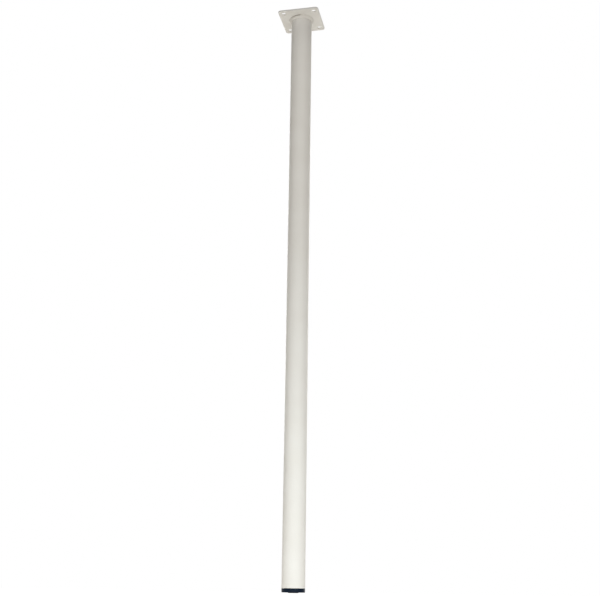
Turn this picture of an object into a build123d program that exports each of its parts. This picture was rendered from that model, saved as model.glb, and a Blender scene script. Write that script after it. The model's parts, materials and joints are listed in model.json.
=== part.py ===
from build123d import *
import math
import os

# Table leg: a round steel tube welded under a square mounting plate, with a screw-set plastic foot.
# The origin is the centre of the plate's top face, where the table top rests, and Z points up, so the
# leg hangs below the origin. The plate's sides run along X and Y. All sizes are in millimetres.

# Overall
LEG_HEIGHT = 700.0  # table top to floor, with the foot screwed fully in

# Mounting plate
PLATE_SIDE = 50.8
PLATE_THICKNESS = 2.0
PLATE_CORNER_RADIUS = 3.5
PLATE_EDGE_CHAMFER = 0.25
SCREW_HOLE_DIAMETER = 5.0
SCREW_HOLE_SPACING = 38.1

# Tube
TUBE_DIAMETER = 25.4
TUBE_WALL = 1.5

# Weld bead in the corner between plate and tube
BEAD_LEG_ON_PLATE = 2.8
BEAD_LEG_ON_TUBE = 3.9
BEAD_CROWN = 0.4  # height of the bulging face over a straight one
BEAD_FACETS = 3  # flat steps that the bulge is drawn with
BEAD_STOP_HEIGHT = 0.35  # lump where the end of the weld runs over its start
BEAD_STOP_RADIUS = 2.4
BEAD_STOP_ANGLE = -75.0  # degrees about Z from +X

# Thread and nut
THREAD_DIAMETER = 8.0
THREAD_CLEARANCE = 0.05  # radial, also where the stud turns in the disc
NUT_SIDES = 6
NUT_ACROSS_FLATS = 13.0
NUT_HEIGHT = 6.5
NUT_CHAMFER_ANGLE = 30.0
NUT_POCKET_CLEARANCE = 0.02
NUT_RECESS = 0.3  # below the lip's face

# Insert in the tube's end
LIP_THICKNESS = 1.0
SLEEVE_LENGTH = 24.0
SLEEVE_WALL = 1.6  # over the corners of the nut
SLEEVE_LEAD_IN = 1.2
STUD_PASSAGE_CLEARANCE = 0.4
FIN_COUNT = 4
FIN_THICKNESS = 1.0
FIN_CLEARANCE = 0.02
FIN_GAP_WIDTH = 4.0  # the fins are broken on four sides so that they can bend

# Levelling stud
STUD_REACH = 38.0  # above the foot disc
STUD_END_CHAMFER = 1.0
STUD_FLANGE_DIAMETER = 15.0
STUD_FLANGE_THICKNESS = 1.2
STUD_FLANGE_COVER = 0.8  # plastic moulded over the flange

# Foot disc
DISC_THICKNESS = 3.3
DISC_FLOOR_CHAMFER = 0.6
PAD_DIAMETER = 11.5
PAD_HEIGHT = 0.55
PAD_EDGE_CHAMFER = 0.25

# Levels and radii that follow from the sizes above
plate_underside = -PLATE_THICKNESS
floor_level = -LEG_HEIGHT
disc_bottom = floor_level + PAD_HEIGHT
disc_top = disc_bottom + DISC_THICKNESS
tube_end = disc_top + LIP_THICKNESS
tube_radius = TUBE_DIAMETER / 2
tube_bore_radius = tube_radius - TUBE_WALL
thread_radius = THREAD_DIAMETER / 2
running_radius = thread_radius + THREAD_CLEARANCE
nut_flat_radius = NUT_ACROSS_FLATS / 2
nut_corner_radius = nut_flat_radius / math.cos(math.pi / NUT_SIDES)
SAME_PLACE = 1e-4  # two measures closer than this are one place


def spun(points):
    """The closed outline of (radius, height) points, turned once round the leg's axis."""
    outline = make_face(Polyline(*[(r, 0, z) for r, z in points], close=True))
    return revolve(outline, Axis.Z)


def rim(solid, radius, level):
    """The round edges of one radius at one height."""
    return [
        edge
        for edge in solid.edges().filter_by(GeomType.CIRCLE)
        if abs(edge.radius - radius) < SAME_PLACE and abs(edge.arc_center.Z - level) < SAME_PLACE
    ]


def hexagon(flat_radius, bottom, top):
    """An upright prism with the sides of the nut, on the leg's axis."""
    outline = RegularPolygon(flat_radius, NUT_SIDES, major_radius=False)
    return Pos(0, 0, bottom) * extrude(outline, top - bottom)


def make_mounting_plate():
    """Cut plate with rounded corners, broken edges and four plain screw holes."""
    outline = RectangleRounded(PLATE_SIDE, PLATE_SIDE, PLATE_CORNER_RADIUS)
    hole = Circle(SCREW_HOLE_DIAMETER / 2)
    holes = GridLocations(SCREW_HOLE_SPACING, SCREW_HOLE_SPACING, 2, 2) * hole
    plate = extrude(outline - holes, -PLATE_THICKNESS)
    faces = plate.faces().sort_by(Axis.Z)
    return chamfer(faces[0].edges() + faces[-1].edges(), PLATE_EDGE_CHAMFER)


def make_leg_tube():
    """Plain round tube, cut square, from the plate's underside to the lip of the insert."""
    wall = Circle(tube_radius) - Circle(tube_bore_radius)
    return Pos(0, 0, tube_end) * extrude(wall, plate_underside - tube_end)


def make_weld_bead():
    """Fillet ring with a bulging face, and a low lump where the weld stopped over its own start."""
    root = Vector(tube_radius, 0, plate_underside)
    plate_toe = root + Vector(BEAD_LEG_ON_PLATE, 0, 0)
    tube_toe = root - Vector(0, 0, BEAD_LEG_ON_TUBE)
    outward = Vector(BEAD_LEG_ON_TUBE, 0, -BEAD_LEG_ON_PLATE).normalized()
    steps = [i / BEAD_FACETS for i in range(BEAD_FACETS + 1)]
    across = tube_toe - plate_toe
    face = [plate_toe + across * t + outward * BEAD_CROWN * 4 * t * (1 - t) for t in steps]
    ring = revolve(make_face(Polyline(root, *face, close=True)), Axis.Z)
    crest = plate_toe + across / 2 + outward * BEAD_CROWN
    stop = crest - outward * (BEAD_STOP_RADIUS - BEAD_STOP_HEIGHT)
    lump = Rot(0, 0, BEAD_STOP_ANGLE) * Pos(stop) * Sphere(BEAD_STOP_RADIUS)
    around_tube = spun(
        [
            (tube_radius, tube_end),
            (PLATE_SIDE / 2, tube_end),
            (PLATE_SIDE / 2, plate_underside),
            (tube_radius, plate_underside),
        ]
    )
    return ring + (lump & around_tube)


def make_tube_insert():
    """Lip, sleeve and thin fins in one moulding, with a hex pocket for the nut and a way for the stud."""
    core_radius = nut_corner_radius + NUT_POCKET_CLEARANCE + SLEEVE_WALL
    fin_radius = tube_bore_radius - FIN_CLEARANCE
    sleeve_top = tube_end + SLEEVE_LENGTH
    fin_pitch = (SLEEVE_LENGTH - SLEEVE_LEAD_IN) / FIN_COUNT
    body = [(0, disc_top), (tube_radius, disc_top), (tube_radius, tube_end)]
    for i in range(FIN_COUNT):
        low = tube_end + i * fin_pitch
        body += [(fin_radius, low), (fin_radius, low + FIN_THICKNESS)]
        body += [(core_radius, low + FIN_THICKNESS), (core_radius, low + fin_pitch)]
    body += [(core_radius - SLEEVE_LEAD_IN, sleeve_top), (0, sleeve_top)]
    fin_space = Pos(0, 0, tube_end) * extrude(Circle(tube_radius) - Circle(core_radius), SLEEVE_LENGTH)
    gaps = Rectangle(TUBE_DIAMETER, FIN_GAP_WIDTH) + Rectangle(FIN_GAP_WIDTH, TUBE_DIAMETER)
    gap_walls = Pos(0, 0, tube_end) * extrude(gaps, SLEEVE_LENGTH)
    pocket_top = disc_top + NUT_RECESS + NUT_HEIGHT
    pocket = hexagon(nut_flat_radius + NUT_POCKET_CLEARANCE, disc_top, pocket_top)
    passage_section = Circle(thread_radius + STUD_PASSAGE_CLEARANCE)
    passage = Pos(0, 0, pocket_top) * extrude(passage_section, sleeve_top - pocket_top)
    return spun(body) - (gap_walls & fin_space) - pocket - passage


def make_hex_nut():
    """Six-sided nut with its corners turned down at both ends."""
    corner_drop = (nut_corner_radius - nut_flat_radius) * math.tan(math.radians(NUT_CHAMFER_ANGLE))
    bottom = disc_top + NUT_RECESS
    top = bottom + NUT_HEIGHT
    turned = [
        (running_radius, bottom),
        (nut_flat_radius, bottom),
        (nut_corner_radius, bottom + corner_drop),
        (nut_corner_radius, top - corner_drop),
        (nut_flat_radius, top),
        (running_radius, top),
    ]
    return hexagon(nut_flat_radius, bottom, top) & spun(turned)


def make_levelling_stud():
    """Screw shank with a chamfered end, on a round flange that is held inside the foot disc."""
    flange_top = disc_top - STUD_FLANGE_COVER
    flange_bottom = flange_top - STUD_FLANGE_THICKNESS
    top = disc_top + STUD_REACH
    return spun(
        [
            (0, flange_bottom),
            (STUD_FLANGE_DIAMETER / 2, flange_bottom),
            (STUD_FLANGE_DIAMETER / 2, flange_top),
            (thread_radius, flange_top),
            (thread_radius, top - STUD_END_CHAMFER),
            (thread_radius - STUD_END_CHAMFER, top),
            (0, top),
        ]
    )


def make_foot_disc():
    """Moulded disc as wide as the tube, with a raised pad on the floor and the stud's flange inside."""
    pad_radius = PAD_DIAMETER / 2
    cavity_radius = STUD_FLANGE_DIAMETER / 2 + THREAD_CLEARANCE
    cavity_top = disc_top - STUD_FLANGE_COVER
    cavity_bottom = cavity_top - STUD_FLANGE_THICKNESS
    disc = spun(
        [
            (0, floor_level),
            (pad_radius, floor_level),
            (pad_radius, disc_bottom),
            (tube_radius, disc_bottom),
            (tube_radius, disc_top),
            (running_radius, disc_top),
            (running_radius, cavity_top),
            (cavity_radius, cavity_top),
            (cavity_radius, cavity_bottom),
            (0, cavity_bottom),
        ]
    )
    disc = chamfer(rim(disc, pad_radius, floor_level), PAD_EDGE_CHAMFER)
    return chamfer(rim(disc, tube_radius, disc_bottom), DISC_FLOOR_CHAMFER)


pieces = {
    "mounting_plate": make_mounting_plate(),
    "leg_tube": make_leg_tube(),
    "weld_bead": make_weld_bead(),
    "tube_insert": make_tube_insert(),
    "hex_nut": make_hex_nut(),
    "levelling_stud": make_levelling_stud(),
    "foot_disc": make_foot_disc(),
}
os.makedirs("parts", exist_ok=True)
for node, piece in pieces.items():
    export_step(piece, f"parts/{node}.step")
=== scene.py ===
import json
import math

import bpy
import numpy as np
from mathutils import Matrix, Vector


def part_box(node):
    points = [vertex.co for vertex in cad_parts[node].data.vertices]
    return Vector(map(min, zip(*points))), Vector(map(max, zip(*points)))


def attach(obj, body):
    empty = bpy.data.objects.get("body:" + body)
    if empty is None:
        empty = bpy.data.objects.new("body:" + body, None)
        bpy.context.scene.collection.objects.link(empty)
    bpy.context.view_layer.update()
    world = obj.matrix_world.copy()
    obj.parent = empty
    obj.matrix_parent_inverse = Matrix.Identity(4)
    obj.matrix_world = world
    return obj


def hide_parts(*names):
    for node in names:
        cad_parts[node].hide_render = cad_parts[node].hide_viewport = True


# Table leg: a coated plate, tube and weld, and a black plastic foot on a threaded stud.
# Lengths are in metres and angles in radians, in the frame of the solids.
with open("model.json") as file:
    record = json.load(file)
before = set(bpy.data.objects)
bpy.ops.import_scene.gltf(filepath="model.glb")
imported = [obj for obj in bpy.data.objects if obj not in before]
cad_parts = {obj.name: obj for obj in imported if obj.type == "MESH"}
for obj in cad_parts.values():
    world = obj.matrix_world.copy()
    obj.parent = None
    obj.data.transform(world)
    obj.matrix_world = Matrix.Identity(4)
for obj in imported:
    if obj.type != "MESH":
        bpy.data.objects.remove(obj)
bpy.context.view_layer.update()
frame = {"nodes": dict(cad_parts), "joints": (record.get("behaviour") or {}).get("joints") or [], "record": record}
MM = 0.001
FULL_TURN = 2 * math.pi

# Sizes read from the frame
plate_low, plate_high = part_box("mounting_plate")
tube_low, tube_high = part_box("leg_tube")
bead_low, bead_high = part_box("weld_bead")
stud_low, stud_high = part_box("levelling_stud")
disc_low, disc_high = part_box("foot_disc")
hole_pattern = next(m for m in frame["record"]["mounts"] if m["kind"] == "bolt_pattern")["dims"]
foot_travel = next(j for j in frame["joints"] if j["name"] == "foot_extend")["range_m"][1]
plate_half = plate_high.x
plate_underside = plate_low.z
hole_place = hole_pattern["spacing_x_mm"] / 2 * MM
hole_radius = hole_pattern["hole_r_mm"] * MM
tube_radius = tube_high.x

# Plate
PLATE_CORNER = 3.5 * MM
PLATE_EDGE_ROUND = 0.4 * MM
HOLE_LIP_ROUND = 0.45 * MM

# Tube
TUBE_WALL = 1.5 * MM
TUBE_END_ROUND = 0.25 * MM
TUBE_PAINTED_SHADE = 0.35  # share of painted shade in the corner under the plate
TUBE_PAINTED_SHADE_REACH = 60 * MM  # from the plate down to where the painted shade ends

# Weld bead
BEAD_CROWN = 0.4 * MM
BEAD_STOP_ANGLE = math.radians(-75)  # where the end of the weld runs over its start
STOP_LUMP = 0.3 * MM  # added to the crown at the stop
STOP_LUMP_REACH = 1.7 * MM
TOE_WAVES = ((0.25, 3, 0.7), (0.15, 7, 2.1), (0.1, 16, 0.0))  # height, count in one turn and phase of each
PLATE_LEG_WANDER = 0.08  # share of the leg on the plate that the waves take
TUBE_LEG_WANDER = 0.09  # share of the leg on the tube that the waves take
RIPPLE_COUNT = 58
RIPPLE_HEIGHT = 0.09 * MM
RIPPLE_LAG = 0.9  # share of a ripple by which the toes lag behind the crest
TOE_GAP = 0.06 * MM  # under the toe at the plate, all round
OPEN_GAP = 0.85 * MM  # added on one side of the stop, where the toe hangs clear of the plate
OPEN_GAP_START = (0.08, 0.24)  # angles from the stop between which it opens
OPEN_GAP_END = (0.6, 1.5)  # and closes
GROOVE = 0.18 * MM  # added on the other side of the stop
GROOVE_START = (0.05, 0.25)
GROOVE_END = (1.3, 2.0)
GAP_DEPTH = 2.2  # in gap heights
BEAD_ROOT = 0.3 * MM  # metal that the gap leaves on the tube
SHADE_FILM = 0.03 * MM  # height of a sheet of the bead on the plate inside the gap, which carries painted shade
GAP_PAINTED_SHADE = (0.15 * MM, 0.6 * MM)  # gap heights between which the painted shade inside sets in
TOE_PAINTED_SHADE = 0.5  # share of painted shade along the toe on the tube
TOE_PAINTED_SHADE_START = 0.82  # share of the way down the face where it sets in

# Stud
THREAD_RADIUS = 4.0 * MM
THREAD_PITCH = 1.25 * MM
THREAD_DEPTH = 0.75 * MM
THREAD_PLACES = (0.0, 0.25, 0.5625, 0.6875)  # the two ends of the root and of the crest within a pitch
THREAD_HEIGHTS = (0.0, 0.0, 1.0, 1.0)  # at those places, as shares of the depth
STUD_END_CHAMFER = 1.0 * MM
FLANGE_THICKNESS = 1.2 * MM

# Foot disc
PAD_RADIUS = 5.75 * MM
PAD_HEIGHT = 0.55 * MM
PAD_ROUND = 0.5 * MM
DISC_FLOOR_ROUND = 0.7 * MM
DISC_TOP_ROUND = 0.15 * MM
DISC_INNER_ROUND = 0.1 * MM
RUNNING_GAP = 0.05 * MM  # between the disc and the stud

# Fineness of the meshes
JOIN = 1e-8  # points nearer than this are one point
ARC_STEPS = 6  # along a rounded corner of a section
FLAT_HOLD = 0.4  # in radii, from a rounded corner to the point that keeps the next flat flat
EDGE_POINTS = 6  # over a quarter round of the plate
SIDE_POINTS = 13  # along each side of a quarter of the plate
CORNER_POINTS = 15  # round the plate's corner
FLAT_SHARES = (0.03, 0.2, 0.45, 0.7, 0.97)  # of the way from a hole's lip to the plate's outline
TUBE_SIDES = 144
TUBE_ROW = 25 * MM
WELD_SIDES = 720
WELD_FACE_ROWS = 33
STUD_SIDES = 64
FOOT_SIDES = 128

PAINTED_SHADE_MARK = "painted_shade"  # mesh attribute, 1 where the painted shade is full


# Meshes


def grid_faces(rows, columns, rows_close=False, columns_close=True):
    """Four-cornered faces between neighbours of a grid that is numbered row by row."""
    i = np.arange(rows if rows_close else rows - 1)[:, None]
    j = np.arange(columns if columns_close else columns - 1)[None, :]
    below, beside = (i + 1) % rows, (j + 1) % columns
    corners = (i * columns + j, i * columns + beside, below * columns + beside, below * columns + j)
    return np.stack(corners, -1).reshape(-1, 4)


def new_piece(name, points, faces, body, material, node, painted_shade=None):
    """A mesh in which points in one place are joined, and corners that close up there are dropped.

    The values in painted_shade, one for each point, go with it as the mark of painted shade."""
    corners = points[faces].reshape(-1, 3)
    keys = np.round(corners / JOIN).astype(np.int64)
    _, first, index = np.unique(keys, axis=0, return_index=True, return_inverse=True)
    index = index.reshape(faces.shape)
    keep = index != np.roll(index, -1, axis=1)
    whole = keep.sum(1) >= 3
    totals = keep[whole].sum(1)
    used, loops = np.unique(index[whole][keep[whole]], return_inverse=True)
    first = first[used]
    mesh = bpy.data.meshes.new(name)
    mesh.vertices.add(len(used))
    mesh.vertices.foreach_set("co", corners[first].ravel())
    mesh.loops.add(len(loops))
    mesh.loops.foreach_set("vertex_index", loops.ravel())
    mesh.polygons.add(len(totals))
    mesh.polygons.foreach_set("loop_start", np.cumsum(totals) - totals)
    if painted_shade is not None:
        mark = mesh.attributes.new(PAINTED_SHADE_MARK, "FLOAT", "POINT")
        mark.data.foreach_set("value", painted_shade[faces].ravel()[first])
    mesh.update(calc_edges=True)
    mesh.shade_smooth()
    mesh.materials.append(material)
    piece = bpy.data.objects.new(name, mesh)
    bpy.context.scene.collection.objects.link(piece)
    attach(piece, body)
    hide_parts(node)


def smooth_step(x, low, high):
    """0 below low, 1 above high, and 3t^2 - 2t^3 between them."""
    t = np.clip((x - low) / (high - low), 0, 1)
    return t * t * (3 - 2 * t)


def about_axis(r, angle, z):
    """Points at radius r, angle a and height z about the leg's axis: (r cos a, r sin a, z), row by row."""
    return np.stack([r * np.cos(angle), r * np.sin(angle), z + 0 * angle], -1).reshape(-1, 3)


def stacked(rows, width):
    """The first entries of all rows set under each other as one grid, then the second ones, and so on.

    An entry is a value or a grid of rows, and all are made as wide as the row of values in width."""
    return [np.concatenate([part + 0 * width for part in entry]) for entry in zip(*rows)]


def rounded_outline(corners):
    """A closed outline in (radius, height) with each (radius, height, round) corner made an arc.

    An arc of radius r touches both sides at r / tan(half the corner's angle) from the corner. One more
    point each side of it, a share of r further on, keeps the flats flat under smooth shading."""
    places = np.array([c[:2] for c in corners], float)
    t = np.linspace(0, 1, ARC_STEPS + 1)[:, None]
    parts = []
    for i, corner in enumerate(places):
        bend = corners[i][2]
        if not bend:
            parts.append(corner[None])
            continue
        back = places[i - 1] - corner
        on = places[(i + 1) % len(places)] - corner
        back, on = back / np.linalg.norm(back), on / np.linalg.norm(on)
        half = math.acos(np.clip(back @ on, -1, 1)) / 2
        reach = bend / math.tan(half)
        middle = (back + on) / np.linalg.norm(back + on)
        centre = corner + middle * bend / math.sin(half)
        start, end = corner + back * reach - centre, corner + on * reach - centre
        sweep = math.pi - 2 * half
        arc = centre + (np.sin((1 - t) * sweep) * start + np.sin(t * sweep) * end) / math.sin(sweep)
        parts += [arc[:1] + back * FLAT_HOLD * bend, arc, arc[-1:] + on * FLAT_HOLD * bend]
    return np.concatenate(parts)


def subdivided(outline, longest):
    """A closed outline with each run cut into equal lengths no longer than longest."""
    runs = np.roll(outline, -1, axis=0) - outline
    counts = np.maximum(1, np.ceil(np.linalg.norm(runs, axis=1) / longest)).astype(int)
    run = np.repeat(np.arange(len(outline)), counts)
    step = np.arange(counts.sum()) - np.repeat(np.cumsum(counts) - counts, counts)
    return outline[run] + runs[run] * (step / counts[run])[:, None]


def revolved(outline, sides):
    """Points and faces of a closed (radius, height) outline, turned about the leg's axis."""
    angle = np.linspace(0, FULL_TURN, sides, endpoint=False)[None, :]
    points = about_axis(outline[:, :1], angle, outline[:, 1:])
    return points, grid_faces(len(outline), sides, rows_close=True)


def quarter_outline():
    """The plate's outline round one hole, with the direction in which its outer edge faces.

    The way runs up one outer side, round the corner's arc and along the other outer side, and then back
    along the plate's two middle lines, where the direction is zero because the next quarter goes on."""
    t = np.linspace(0, 1, SIDE_POINTS)
    bend = plate_half - PLATE_CORNER
    arc = np.linspace(0, FULL_TURN / 4, CORNER_POINTS)[1:-1]
    side_x = np.stack([np.full_like(t, plate_half), bend * t], -1)
    corner = np.stack([bend + PLATE_CORNER * np.cos(arc), bend + PLATE_CORNER * np.sin(arc)], -1)
    side_y = np.stack([bend * (1 - t), np.full_like(t, plate_half)], -1)
    middle_x = np.stack([np.zeros_like(t), plate_half * (1 - t)], -1)[1:]
    middle_y = np.stack([plate_half * t, np.zeros_like(t)], -1)[1:-1]
    faces_x = np.tile((1.0, 0.0), (len(t), 1))
    faces_corner = np.stack([np.cos(arc), np.sin(arc)], -1)
    faces_none = np.zeros((len(middle_x) + len(middle_y), 2))
    places = np.concatenate([side_x, corner, side_y, middle_x, middle_y])
    facing = np.concatenate([faces_x, faces_corner, faces_x[:, ::-1], faces_none])
    return places, facing


def quarter_round(radius):
    """A quarter circle from a flat to an upright face: its way in from the face and down from the flat."""
    turn = np.linspace(0, FULL_TURN / 4, EDGE_POINTS)
    return radius * (1 - np.sin(turn)), radius * (1 - np.cos(turn))


def make_plate(material):
    """The plate as four mirrored quarters, each a grid round its hole.

    One parameter goes round the hole, the other goes down the bore, out along the underside, up the edge
    and back along the top. A point of a flat lies on the line from the hole's lip to the outline. Painted
    shade darkens the edge, by the sine of the angle through which the edge's round has turned."""
    outline, facing = quarter_outline()
    top, under = plate_high.z, plate_underside
    hole = np.array([hole_place, hole_place])
    ray = outline - hole
    ray /= np.linalg.norm(ray, axis=1)[:, None]
    lip_in, lip_down = quarter_round(HOLE_LIP_ROUND)
    edge_in, edge_down = quarter_round(PLATE_EDGE_ROUND)
    bore_reach = hole_radius + np.concatenate([lip_in, lip_in[::-1]])
    bore_level = np.concatenate([top - lip_down, (under + lip_down)[::-1]])
    edge_inset = np.concatenate([edge_in, edge_in[::-1]])
    edge_level = np.concatenate([under + edge_down, (top - edge_down)[::-1]])
    bore = hole + ray * bore_reach[:, None, None]
    edge = outline - facing * edge_inset[:, None, None]
    flat = bore[-1] + (edge[0] - bore[-1]) * np.array(FLAT_SHARES)[:, None, None]
    flat_level = np.zeros(len(flat))
    places = np.concatenate([bore, flat, edge, flat[::-1]])
    levels = np.concatenate([bore_level, flat_level + under, edge_level, flat_level + top])
    # Painted shade on the edge: none on the flats, full on the upright face
    painted_shade = np.concatenate([0 * bore_level, flat_level, 1 - edge_inset / PLATE_EDGE_ROUND, flat_level])
    levels, painted_shade = np.repeat(levels, len(outline)), np.repeat(painted_shade, len(outline))
    points = np.column_stack([places.reshape(-1, 2), levels])

    # The edge has no faces on the middle lines, where the next quarter goes on
    faces = grid_faces(len(places), len(outline), rows_close=True)
    row, column = np.divmod(faces[:, 0], len(outline))
    first_edge_row = len(bore) + len(flat)
    on_edge = (row >= first_edge_row) & (row < first_edge_row + len(edge) - 1)
    outer = np.any(facing, axis=1)
    inner = ~(outer & np.roll(outer, -1))
    faces = faces[~(on_edge & inner[column])]

    quarters = ((1, 1), (1, -1), (-1, 1), (-1, -1))
    turned = [faces if x == y else faces[:, ::-1] for x, y in quarters]
    all_points = np.concatenate([points * (x, y, 1) for x, y in quarters])
    all_faces = np.concatenate([f + i * len(points) for i, f in enumerate(turned)])
    all_painted_shade = np.tile(painted_shade, len(quarters))
    new_piece("plate", all_points, all_faces, "leg", material, "mounting_plate", all_painted_shade)


def make_tube(material):
    """The tube's wall in section, with softened ends, turned about the axis.

    Painted shade darkens the tube under the plate, by a share that goes with the square of the height
    above the level where the painted shade ends."""
    bore = tube_radius - TUBE_WALL
    outline = rounded_outline(
        [
            (tube_radius, tube_low.z, TUBE_END_ROUND),
            (tube_radius, tube_high.z, TUBE_END_ROUND),
            (bore, tube_high.z, TUBE_END_ROUND),
            (bore, tube_low.z, TUBE_END_ROUND),
        ]
    )
    points, faces = revolved(subdivided(outline, TUBE_ROW), TUBE_SIDES)
    # Painted shade on the tube's head under the plate
    below_plate = (plate_underside - points[:, 2]) / TUBE_PAINTED_SHADE_REACH
    painted_shade = TUBE_PAINTED_SHADE * np.clip(1 - below_plate, 0, 1) ** 2
    new_piece("tube", points, faces, "leg", material, "leg_tube", painted_shade)


def make_weld(material):
    """A bead laid round the head of the tube, as a grid of its section and the angle round the axis.

    The face is the straight line between the two toes plus a parabolic bulge, ripples whose phase lags
    towards the toes, and a lump where the weld stopped. Both legs wander by a few slow waves. Under the toe
    at the plate is a narrow gap, which opens on one side of the stop and is a shallow groove on the other.
    A sheet of the bead lies on the plate inside it. Painted shade darkens that sheet and the gap where it is
    open, and along the toe on the tube."""
    angle = np.linspace(0, FULL_TURN, WELD_SIDES, endpoint=False)[None, :]
    past_stop = (BEAD_STOP_ANGLE - angle) % FULL_TURN
    before_stop = FULL_TURN - past_stop
    wander = 0.5 + sum(height * np.sin(count * angle + phase) for height, count, phase in TOE_WAVES)
    leg_plate = (bead_high.x - tube_radius) * (1 - PLATE_LEG_WANDER * wander)
    leg_tube = (plate_underside - bead_low.z) * (1 - TUBE_LEG_WANDER * wander[:, ::-1])
    opening = smooth_step(past_stop, *OPEN_GAP_START) * (1 - smooth_step(past_stop, *OPEN_GAP_END))
    groove = smooth_step(before_stop, *GROOVE_START) * (1 - smooth_step(before_stop, *GROOVE_END))
    gap = TOE_GAP + OPEN_GAP * opening + GROOVE * groove

    # The face from the toe on the tube up to the gap, by the share of the way down from the plate
    down = 1 - np.linspace(0, 1, WELD_FACE_ROWS)[:, None] * (1 - gap / leg_tube)
    belly = 4 * down * (1 - down)
    ripple = (0.5 + 0.5 * np.cos(RIPPLE_COUNT * angle + FULL_TURN * RIPPLE_LAG * (1 - belly))) ** 2
    from_stop = np.minimum(past_stop, before_stop) * tube_radius
    lump = np.exp(-((from_stop / STOP_LUMP_REACH) ** 2))
    bulge = belly * (BEAD_CROWN + RIPPLE_HEIGHT * (ripple - 0.5) + STOP_LUMP * lump)
    slope = np.hypot(leg_plate, leg_tube)
    face_r = tube_radius + leg_plate * (1 - down) + bulge * leg_tube / slope
    face_z = plate_underside - leg_tube * down - bulge * leg_plate / slope
    # Painted shade along the toe on the tube
    face_painted_shade = TOE_PAINTED_SHADE * smooth_step(down, TOE_PAINTED_SHADE_START, 1)

    # The gap, which runs in towards the tube and out again along a sheet on the plate that carries painted shade
    deep = np.maximum(tube_radius + BEAD_ROOT, face_r[-1] - GAP_DEPTH * gap)
    toe = tube_radius + leg_plate
    shade_film = plate_underside - SHADE_FILM
    gap_painted_shade = smooth_step(gap, *GAP_PAINTED_SHADE)
    rows = [
        (tube_radius, plate_underside, 0),
        (face_r, face_z, face_painted_shade),
        (deep, shade_film, gap_painted_shade),
        ((deep + toe) / 2, shade_film, gap_painted_shade),
        (toe, shade_film, gap_painted_shade / 2),
        (toe, plate_underside, 0),
    ]
    r, z, painted_shade = stacked(rows, angle)
    points = about_axis(r, angle, z)
    faces = grid_faces(len(r), WELD_SIDES, rows_close=True)
    new_piece("weld", points, faces, "leg", material, "weld_bead", painted_shade.ravel())


def make_foot(material):
    """The disc in section, from the pad's middle out to the rim and in to the space of the stud, turned."""
    rim = disc_high.x
    under = disc_low.z + PAD_HEIGHT
    flange = stud_high.x + RUNNING_GAP
    shank = THREAD_RADIUS + RUNNING_GAP
    room_low = stud_low.z - RUNNING_GAP
    room_high = stud_low.z + FLANGE_THICKNESS + RUNNING_GAP
    outline = rounded_outline(
        [
            (0, disc_low.z, 0),
            (PAD_RADIUS, disc_low.z, PAD_ROUND),
            (PAD_RADIUS, under, DISC_INNER_ROUND),
            (rim, under, DISC_FLOOR_ROUND),
            (rim, disc_high.z, DISC_TOP_ROUND),
            (shank, disc_high.z, DISC_INNER_ROUND),
            (shank, room_high, DISC_INNER_ROUND),
            (flange, room_high, DISC_INNER_ROUND),
            (flange, room_low, DISC_INNER_ROUND),
            (0, room_low, 0),
        ]
    )
    points, faces = revolved(outline, FOOT_SIDES)
    new_piece("foot", points, faces, "foot", material, "foot_disc")


def make_stud(material):
    """The stud as rings about the axis, with the thread as a ridge carried along a helix.

    A ring of the thread rises by one pitch per turn, so its end meets the start of the ring a pitch higher.
    Within a pitch the radius goes root, flank, crest, flank. The ridge grows out of the root over the first
    pitch, and it is held under a line that slants in at the top end. Heights are held between the flange and
    the end, so the turns that run out of the stud close up there."""
    turn = np.linspace(0, 1, STUD_SIDES + 1)[None, :]
    flange, bottom, top = stud_high.x, stud_low.z + FLANGE_THICKNESS, stud_high.z
    pitches = math.ceil((top - bottom) / THREAD_PITCH) + 2
    along = np.add.outer(np.arange(pitches) - 1, THREAD_PLACES).reshape(-1, 1)
    climb = THREAD_PITCH * (along + turn)
    ridge = np.tile(THREAD_HEIGHTS, pitches)[:, None] * smooth_step(climb, 0, THREAD_PITCH)
    thread_z = np.clip(bottom + climb, bottom, top)
    thread_r = THREAD_RADIUS - THREAD_DEPTH * (1 - ridge)
    thread_r = np.minimum(thread_r, THREAD_RADIUS - STUD_END_CHAMFER + (top - thread_z))
    rows = [(0, stud_low.z), (flange, stud_low.z), (flange, bottom), (thread_r, thread_z), (0, top)]
    r, z = stacked(rows, turn)
    points = about_axis(r, FULL_TURN * turn, z)
    faces = grid_faces(len(r), STUD_SIDES + 1, columns_close=False)
    new_piece("stud", points, faces, "stud", material, "levelling_stud")


# Finishes

COAT_TONES = ((0.885, 0.875, 0.845), (0.855, 0.84, 0.805))
# Colour of the painted shade on the plate's edge and at the tube's head
PAINTED_SHADE_TONE = (0.7, 0.7, 0.69)
# The coat's tones made a little darker on the weld, as painted shade on the bead
SHADED_WELD_TONES = ((0.865, 0.85, 0.815), (0.82, 0.8, 0.76))
# Colour of the painted shade in the gap under the weld's toe and along its toe on the tube
WELD_SHADE_TONE = (0.45, 0.39, 0.357)
COAT_ROUGHNESS = (0.42, 0.5)
COAT_SCALES = (650, 1900, 28)  # coarse grain, fine grain and mottle, per metre
COAT_PEEL = 0.18 * MM
COAT_GLOSS = 0.15

PLASTIC_TONES = ((0.003, 0.01, 0.0235), (0.0022, 0.008, 0.0195))
PLASTIC_ROUGHNESS = (0.3, 0.4)
PLASTIC_SCALES = (2400, 5200, 90)
PLASTIC_GRAIN = 0.05 * MM
PLASTIC_GLOSS = 0.07

ZINC_TONES = ((0.66, 0.67, 0.68), (0.55, 0.565, 0.6))
ZINC_ROUGHNESS = (0.24, 0.36)
ZINC_SCALES = (1200, 4200, 260)
ZINC_GRAIN = 0.004 * MM

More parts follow.
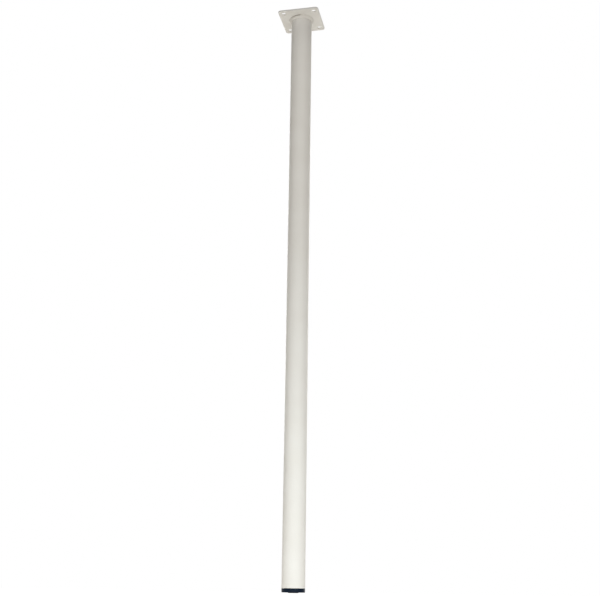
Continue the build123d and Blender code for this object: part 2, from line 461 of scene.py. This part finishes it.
GRAIN_LAYERS = (("Coarse", 1.0), ("Fine", 2.0), ("Mottle", 3.0))  # noise layers and their detail
FINE_SHARE = 0.3  # of the fine layer in the grain's height
MOTTLE_SPREAD = (0.3, 0.7)  # noise values that become 0 and 1
COLOUR_A, COLOUR_B, COLOUR_RESULT = 6, 7, 2  # sockets of a Mix node that mixes colours


def add_node(tree, kind, inputs=None, **settings):
    """A node with its settings and the values of its unlinked inputs."""
    node = tree.nodes.new(kind)
    for name, value in settings.items():
        setattr(node, name, value)
    for name, value in (inputs or {}).items():
        node.inputs[name].default_value = value
    return node


def new_group(name, inputs, outputs):
    """An empty shader group with its sockets, and the nodes that stand for them."""
    tree = bpy.data.node_groups.new(name, "ShaderNodeTree")
    for label, kind in inputs:
        tree.interface.new_socket(label, in_out="INPUT", socket_type=kind)
    for label, kind in outputs:
        tree.interface.new_socket(label, in_out="OUTPUT", socket_type=kind)
    return tree, tree.nodes.new("NodeGroupInput"), tree.nodes.new("NodeGroupOutput")


def grain_group():
    """Skin of a coated or moulded surface: coarse and fine noise as a height, slow noise as a mottle."""
    scales = [(label, "NodeSocketFloat") for label, _ in GRAIN_LAYERS]
    tree, given, put = new_group(
        "surface_grain",
        [("Place", "NodeSocketVector"), *scales],
        [("Height", "NodeSocketFloat"), ("Mottle", "NodeSocketFloat")],
    )
    link = tree.links.new
    layers = {}
    for label, detail in GRAIN_LAYERS:
        noise = add_node(tree, "ShaderNodeTexNoise", {"Detail": detail})
        link(given.outputs["Place"], noise.inputs["Vector"])
        link(given.outputs[label], noise.inputs["Scale"])
        layers[label] = noise.outputs["Fac"]
    height = add_node(tree, "ShaderNodeMix", {"Factor": FINE_SHARE})
    link(layers["Coarse"], height.inputs["A"])
    link(layers["Fine"], height.inputs["B"])
    link(height.outputs["Result"], put.inputs["Height"])
    low, high = MOTTLE_SPREAD
    spread = add_node(tree, "ShaderNodeMapRange", {"From Min": low, "From Max": high})
    link(layers["Mottle"], spread.inputs["Value"])
    link(spread.outputs["Result"], put.inputs["Mottle"])
    return tree


def painted_shade_group():
    """Painted shade: the coat's colour goes over to the shade's colour as far as the amount says."""
    tree, given, put = new_group(
        "painted_shade_mix",
        [("Coat", "NodeSocketColor"), ("Shade", "NodeSocketColor"), ("Amount", "NodeSocketFloat")],
        [("Color", "NodeSocketColor")],
    )
    link = tree.links.new
    blend = add_node(tree, "ShaderNodeMix", data_type="RGBA")
    link(given.outputs["Amount"], blend.inputs["Factor"])
    link(given.outputs["Coat"], blend.inputs[COLOUR_A])
    link(given.outputs["Shade"], blend.inputs[COLOUR_B])
    link(blend.outputs[COLOUR_RESULT], put.inputs["Color"])
    return tree


surface_grain = grain_group()
painted_shade_mix = painted_shade_group()


def new_finish(name, tones, roughness, scales, relief):
    """A material whose colour and roughness drift with the mottle, and whose skin has the grain's height.

    Returns the material, its shader and the output that holds its colour."""
    material = bpy.data.materials.new(name)
    material.use_nodes = True
    tree = material.node_tree
    link = tree.links.new
    shader = tree.nodes["Principled BSDF"]
    place = add_node(tree, "ShaderNodeTexCoord")
    grain = add_node(tree, "ShaderNodeGroup", node_tree=surface_grain)
    link(place.outputs["Object"], grain.inputs["Place"])
    for (label, _), scale in zip(GRAIN_LAYERS, scales):
        grain.inputs[label].default_value = scale
    tone = add_node(tree, "ShaderNodeMix", data_type="RGBA")
    for socket, colour in zip((COLOUR_A, COLOUR_B), tones):
        tone.inputs[socket].default_value = (*colour, 1)
    link(grain.outputs["Mottle"], tone.inputs["Factor"])
    link(tone.outputs[COLOUR_RESULT], shader.inputs["Base Color"])
    rough = add_node(tree, "ShaderNodeMapRange", {"To Min": roughness[0], "To Max": roughness[1]})
    link(grain.outputs["Mottle"], rough.inputs["Value"])
    link(rough.outputs["Result"], shader.inputs["Roughness"])
    bump = add_node(tree, "ShaderNodeBump", {"Strength": 1.0, "Distance": relief})
    link(grain.outputs["Height"], bump.inputs["Height"])
    link(bump.outputs["Normal"], shader.inputs["Normal"])
    return material, shader, tone.outputs[COLOUR_RESULT]


def powder_finish(name, tones, shade_tone):
    """Satin powder coat with a fine orange peel, and painted shade in another tone where the mesh marks it."""
    material, shader, colour = new_finish(name, tones, COAT_ROUGHNESS, COAT_SCALES, COAT_PEEL)
    shader.inputs["Specular IOR Level"].default_value = COAT_GLOSS
    tree = material.node_tree
    mark = add_node(tree, "ShaderNodeAttribute", attribute_name=PAINTED_SHADE_MARK)
    painted_shade = add_node(tree, "ShaderNodeGroup", {"Shade": (*shade_tone, 1)}, node_tree=painted_shade_mix)
    tree.links.new(colour, painted_shade.inputs["Coat"])
    tree.links.new(mark.outputs["Fac"], painted_shade.inputs["Amount"])
    tree.links.new(painted_shade.outputs["Color"], shader.inputs["Base Color"])
    return material


def powder_coat():
    """The cream white coat of plate and tube, with greyer painted shade on the plate's edge and at the tube's
    head.
    """
    return powder_finish("powder_coat", COAT_TONES, PAINTED_SHADE_TONE)


def shaded_weld_coat():
    """The same coat over the weld in slightly darker tones as painted shade on the bead, with darker painted shade
    in the gap under its toe and fainter painted shade along the tube.
    """
    return powder_finish("shaded_weld_coat", SHADED_WELD_TONES, WELD_SHADE_TONE)


def black_plastic():
    """Blue-black moulded plastic with a fine matt grain."""
    material, shader, _ = new_finish(
        "black_plastic", PLASTIC_TONES, PLASTIC_ROUGHNESS, PLASTIC_SCALES, PLASTIC_GRAIN
    )
    shader.inputs["Specular IOR Level"].default_value = PLASTIC_GLOSS
    return material


def zinc_steel():
    """Bright zinc plate with a faint cloudy bloom."""
    material, shader, _ = new_finish("zinc_steel", ZINC_TONES, ZINC_ROUGHNESS, ZINC_SCALES, ZINC_GRAIN)
    shader.inputs["Metallic"].default_value = 1
    return material


# Stage

FLOOR_GAP = 0.5 * MM  # under the foot at its lowest
FLOOR_REACH = 6.0
FLOOR_COLOUR = (0.8, 0.785, 0.755)
FLOOR_ROUGHNESS = 0.9
FLOOR_GLOW = (0.66, 1.0)  # white that the camera sees added, near the foot and far off
FLOOR_GLOW_REACH = (0.1, 0.8)  # distances from the leg's axis between which it rises
floor_level = disc_low.z - foot_travel - FLOOR_GAP

WORLD_STRENGTH = 0.16
WORLD_TINT = (1.0, 0.945, 0.83)

BOUNCE_LEVEL = floor_level + 1 * MM
LAMPS = (  # name, place, point that it faces, width and height, watts, tint
    ("low_key", (0.14, -0.36, -0.66), (0, 0, -0.69), (0.45, 0.08), 0.545, (0.85, 0.955, 1.0)),
    ("fill", (0.14, -1.3, 0.15), (0, 0, -0.15), (1.2, 0.6), 4.6, (1.0, 0.982, 0.972)),
    ("top", (0.25, -0.2, 1.2), (0, 0, 0), (1.0, 1.0), 7, (1.0, 0.96, 0.9)),
    ("back_left", (-0.5, 1.3, 0.1), (0, 0, -0.3), (1.0, 0.8), 9.5, (1.0, 0.97, 0.94)),
    ("back_right", (0.5, 1.3, 0.1), (0, 0, -0.3), (1.0, 0.8), 4.5, (1.0, 0.97, 0.94)),
    ("bounce", (0.15, -0.45, BOUNCE_LEVEL), (0.15, -0.45, 0), (0.9, 0.9), 1.42, (1.0, 0.96, 0.915)),
)

CAMERA_PLACE = (0.2313, -1.0634, -0.6976)
CAMERA_AIM = (0.0029, 0.0, -0.373)
CAMERA_ROLL = math.radians(0.813)
CAMERA_LENS = 58.48  # in millimetres, as Blender counts lenses
CAMERA_SENSOR = 36  # in millimetres
CAMERA_NEAR = 0.01


def seen_as_background(tree):
    """An output that is 1 where the camera sees a surface, or sees it mirrored or through glass, else 0."""
    path = add_node(tree, "ShaderNodeLightPath")
    seen = path.outputs["Is Camera Ray"]
    for kind in ("Is Glossy Ray", "Is Transmission Ray"):
        either = add_node(tree, "ShaderNodeMath", operation="MAXIMUM")
        tree.links.new(seen, either.inputs[0])
        tree.links.new(path.outputs[kind], either.inputs[1])
        seen = either.outputs["Value"]
    return seen


def floor_white():
    """A matt pale floor that the camera sees with added white, so that only shadows stay darker than white.

    Lamps light the floor near the foot, so the added white rises with the distance from the leg's axis."""
    material = bpy.data.materials.new("floor_white")
    material.use_nodes = True
    tree = material.node_tree
    link = tree.links.new
    shader = tree.nodes["Principled BSDF"]
    shader.inputs["Base Color"].default_value = (*FLOOR_COLOUR, 1)
    shader.inputs["Roughness"].default_value = FLOOR_ROUGHNESS
    shader.inputs["Specular IOR Level"].default_value = 0
    shader.inputs["Emission Color"].default_value = (1, 1, 1, 1)
    place = add_node(tree, "ShaderNodeTexCoord")
    level = add_node(tree, "ShaderNodeMapping", {"Scale": (1, 1, 0)})
    link(place.outputs["Object"], level.inputs["Vector"])
    distance = add_node(tree, "ShaderNodeVectorMath", operation="LENGTH")
    link(level.outputs["Vector"], distance.inputs[0])
    ends = zip(("From Min", "From Max", "To Min", "To Max"), FLOOR_GLOW_REACH + FLOOR_GLOW)
    glow = add_node(tree, "ShaderNodeMapRange", dict(ends))
    link(distance.outputs["Value"], glow.inputs["Value"])
    lift = add_node(tree, "ShaderNodeMath", operation="MULTIPLY")
    link(seen_as_background(tree), lift.inputs[0])
    link(glow.outputs["Result"], lift.inputs[1])
    link(lift.outputs["Value"], shader.inputs["Emission Strength"])
    return material


def make_floor():
    """A wide plain floor just under the foot at its lowest, as a flat grid."""
    across = np.linspace(-FLOOR_REACH, FLOOR_REACH, 3)
    x, y = np.meshgrid(across, across)
    points = np.stack([x, y, np.full_like(x, floor_level)], -1).reshape(-1, 3)
    mesh = bpy.data.meshes.new("floor")
    mesh.from_pydata(points.tolist(), [], grid_faces(*x.shape, columns_close=False).tolist())
    mesh.materials.append(floor_white())
    floor = bpy.data.objects.new("floor", mesh)
    bpy.context.scene.collection.objects.link(floor)


def make_world():
    """Even light from all round, and plain white where it is seen directly, mirrored or through glass."""
    world = bpy.data.worlds.new("studio")
    bpy.context.scene.world = world
    world.use_nodes = True
    tree = world.node_tree
    link = tree.links.new
    ambient = tree.nodes["Background"]
    ambient.inputs["Color"].default_value = (*WORLD_TINT, 1)
    ambient.inputs["Strength"].default_value = WORLD_STRENGTH
    white = add_node(tree, "ShaderNodeBackground", {"Color": (1, 1, 1, 1), "Strength": 1.0})
    choice = add_node(tree, "ShaderNodeMixShader")
    link(seen_as_background(tree), choice.inputs["Fac"])
    link(ambient.outputs["Background"], choice.inputs[1])
    link(white.outputs["Background"], choice.inputs[2])
    link(choice.outputs["Shader"], tree.nodes["World Output"].inputs["Surface"])


def soft_light(name, place, aim, size, watts, tint):
    """A flat lamp, size wide and high, that faces a point and isn't seen itself."""
    lamp = bpy.data.lights.new(name, "AREA")
    lamp.shape = "RECTANGLE"
    lamp.size, lamp.size_y = size
    lamp.energy = watts
    lamp.color = tint
    light = bpy.data.objects.new(name, lamp)
    bpy.context.scene.collection.objects.link(light)
    light.location = place
    light.rotation_mode = "QUATERNION"
    light.rotation_quaternion = (Vector(aim) - Vector(place)).to_track_quat("-Z", "Y")
    light.visible_camera = False


def make_camera():
    """Low in front of the foot, looking up the leg."""
    lens = bpy.data.cameras.new("camera")
    lens.sensor_width = CAMERA_SENSOR
    lens.lens = CAMERA_LENS
    lens.clip_start = CAMERA_NEAR
    camera = bpy.data.objects.new("camera", lens)
    bpy.context.scene.collection.objects.link(camera)
    place = Vector(CAMERA_PLACE)
    facing = (Vector(CAMERA_AIM) - place).to_track_quat("-Z", "Y").to_matrix().to_4x4()
    camera.matrix_world = Matrix.Translation(place) @ facing @ Matrix.Rotation(CAMERA_ROLL, 4, "Z")
    bpy.context.scene.camera = camera


coat = powder_coat()
plastic = black_plastic()
zinc = zinc_steel()
make_plate(coat)
make_tube(coat)
make_weld(shaded_weld_coat())
make_foot(plastic)
make_stud(zinc)
for node, material in (("tube_insert", plastic), ("hex_nut", zinc)):
    for slot in frame["nodes"][node].material_slots:
        slot.material = material
make_floor()
make_world()
for lamp in LAMPS:
    soft_light(*lamp)
make_camera()
bpy.context.scene.view_settings.view_transform = "Standard"
